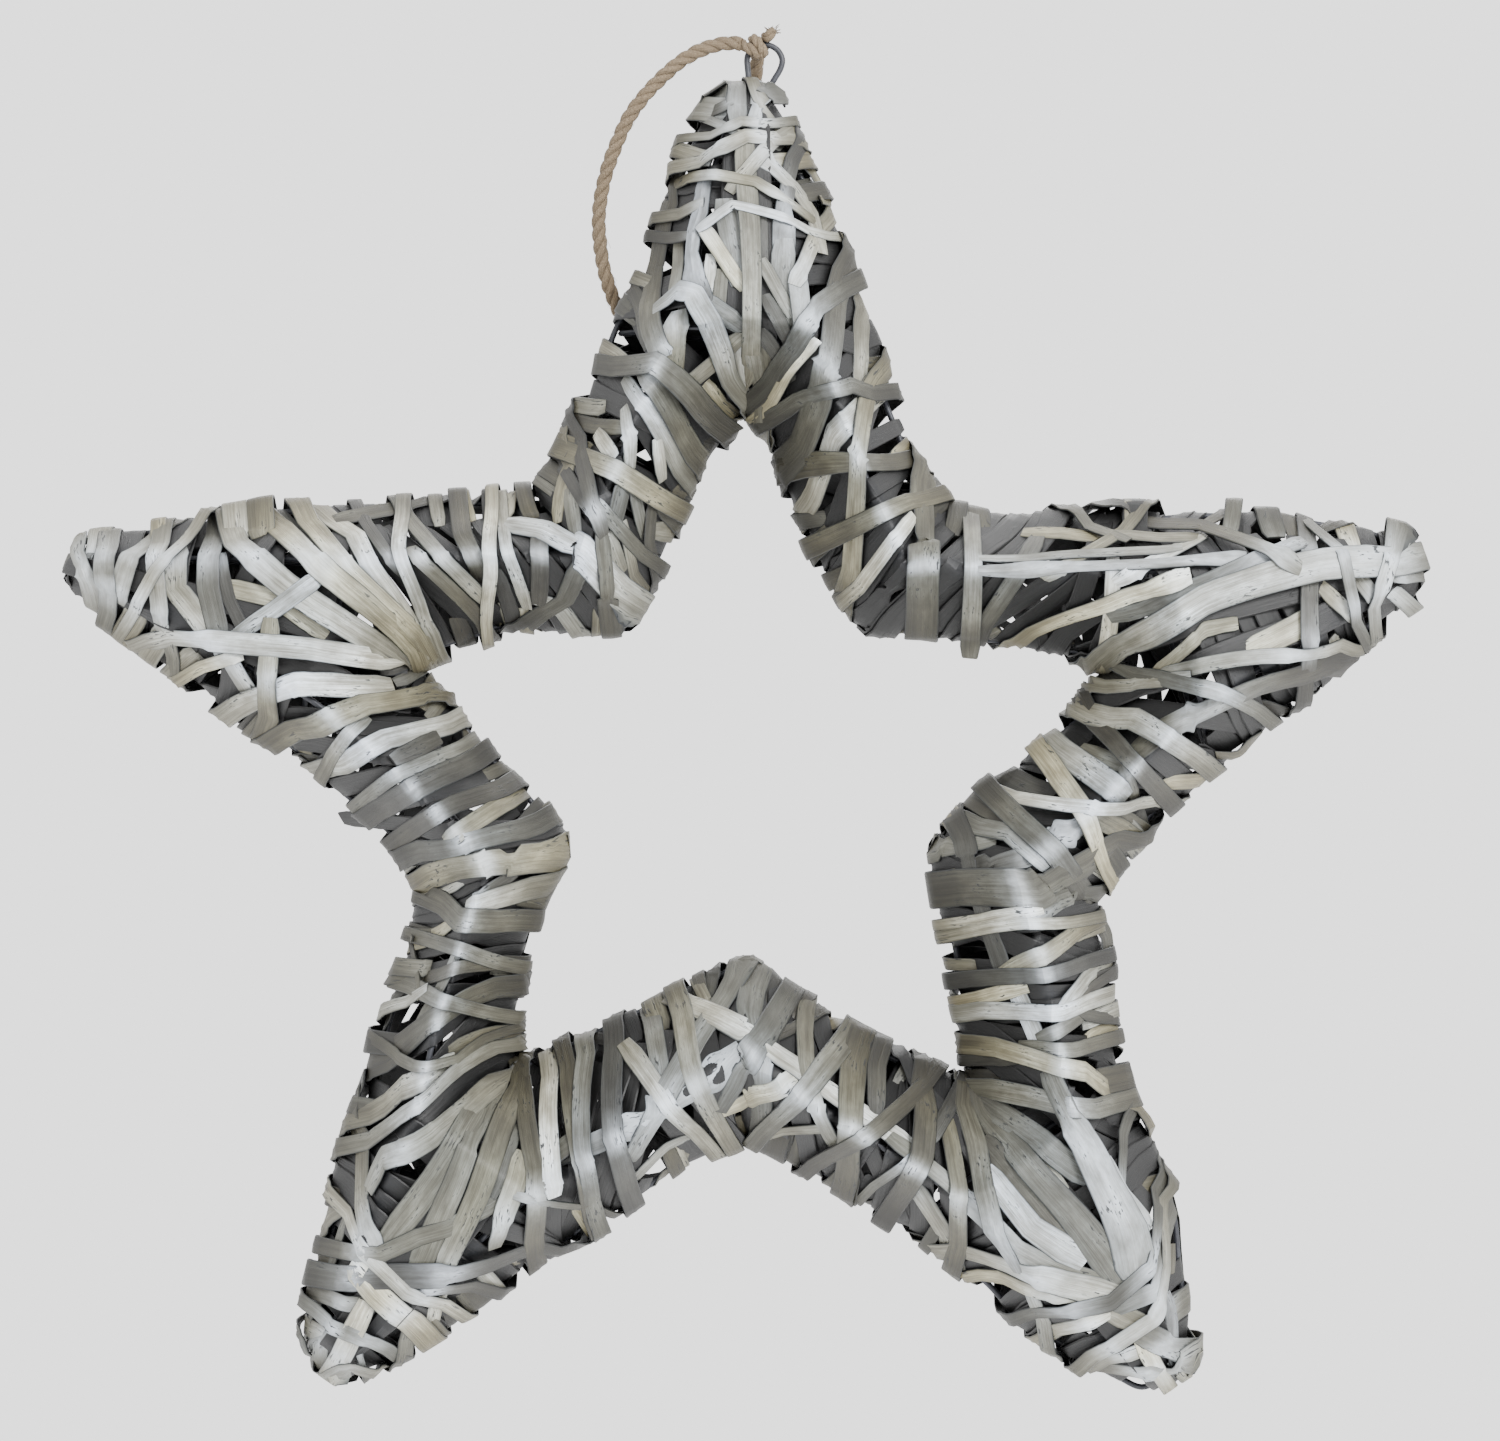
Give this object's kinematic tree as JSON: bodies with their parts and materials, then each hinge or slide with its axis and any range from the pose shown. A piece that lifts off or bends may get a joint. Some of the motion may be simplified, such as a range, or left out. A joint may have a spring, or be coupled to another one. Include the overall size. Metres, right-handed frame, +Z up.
{
  "type": "wicker star ornament",
  "caption": "Hollow five-pointed wicker star of split willow strips wound round a wire frame, with a wire eye and a twisted jute rope loop at its top point.",
  "frame": {"origin": "centre of the wire eye at the top point, from which the star hangs", "axes": "+Z up, -Y towards the star's front, +X to the right as seen from the front"},
  "size_m": [0.4954, 0.0932, 0.4941],
  "materials": {
    "willow": "matt, grey-white washed split willow with its grain showing",
    "wire": "dark grey, dull",
    "rope": "twisted natural jute"
  },
  "bodies": {
    "root": {"arm_rib_left": "wire", "arm_rib_lower_left": "wire", "arm_rib_lower_right": "wire", "arm_rib_right": "wire", "arm_rib_top": "wire", "back_ridge_wire": "wire", "eye_binding": "willow", "front_ridge_wire": "wire", "hanging_eye": "wire", "jute_rope": "rope", "opening_wire": "wire", "outline_wire": "wire", "rope_knot": "rope", "valley_rib_after_left": "wire", "valley_rib_after_lower_left": "wire", "valley_rib_after_lower_right": "wire", "valley_rib_after_right": "wire", "valley_rib_after_top": "wire", "willow_crotch_left_left": "willow", "willow_crotch_left_right": "willow", "willow_crotch_lower_left_left": "willow", "willow_crotch_lower_left_right": "willow", "willow_crotch_lower_right_left": "willow", "willow_crotch_lower_right_right": "willow", "willow_crotch_right_left": "willow", "willow_crotch_right_right": "willow", "willow_crotch_top_left": "willow", "willow_crotch_top_right": "willow", "willow_left_tip": "willow", "willow_long_left": "willow", "willow_long_lower_left": "willow", "willow_long_lower_right": "willow", "willow_long_right": "willow", "willow_long_top": "willow", "willow_lower_left_tip": "willow", "willow_lower_right_tip": "willow", "willow_over_left_left": "willow", "willow_over_left_right": "willow", "willow_over_lower_left_left": "willow", "willow_over_lower_left_right": "willow", "willow_over_lower_right_left": "willow", "willow_over_lower_right_right": "willow", "willow_over_right_left": "willow", "willow_over_right_right": "willow", "willow_over_top_left": "willow", "willow_over_top_right": "willow", "willow_right_tip": "willow", "willow_top_tip": "willow", "willow_under_left_left": "willow", "willow_under_left_right": "willow", "willow_under_lower_left_left": "willow", "willow_under_lower_left_right": "willow", "willow_under_lower_right_left": "willow", "willow_under_lower_right_right": "willow", "willow_under_right_left": "willow", "willow_under_right_right": "willow", "willow_under_top_left": "willow", "willow_under_top_right": "willow"}
  },
  "joints": []
}
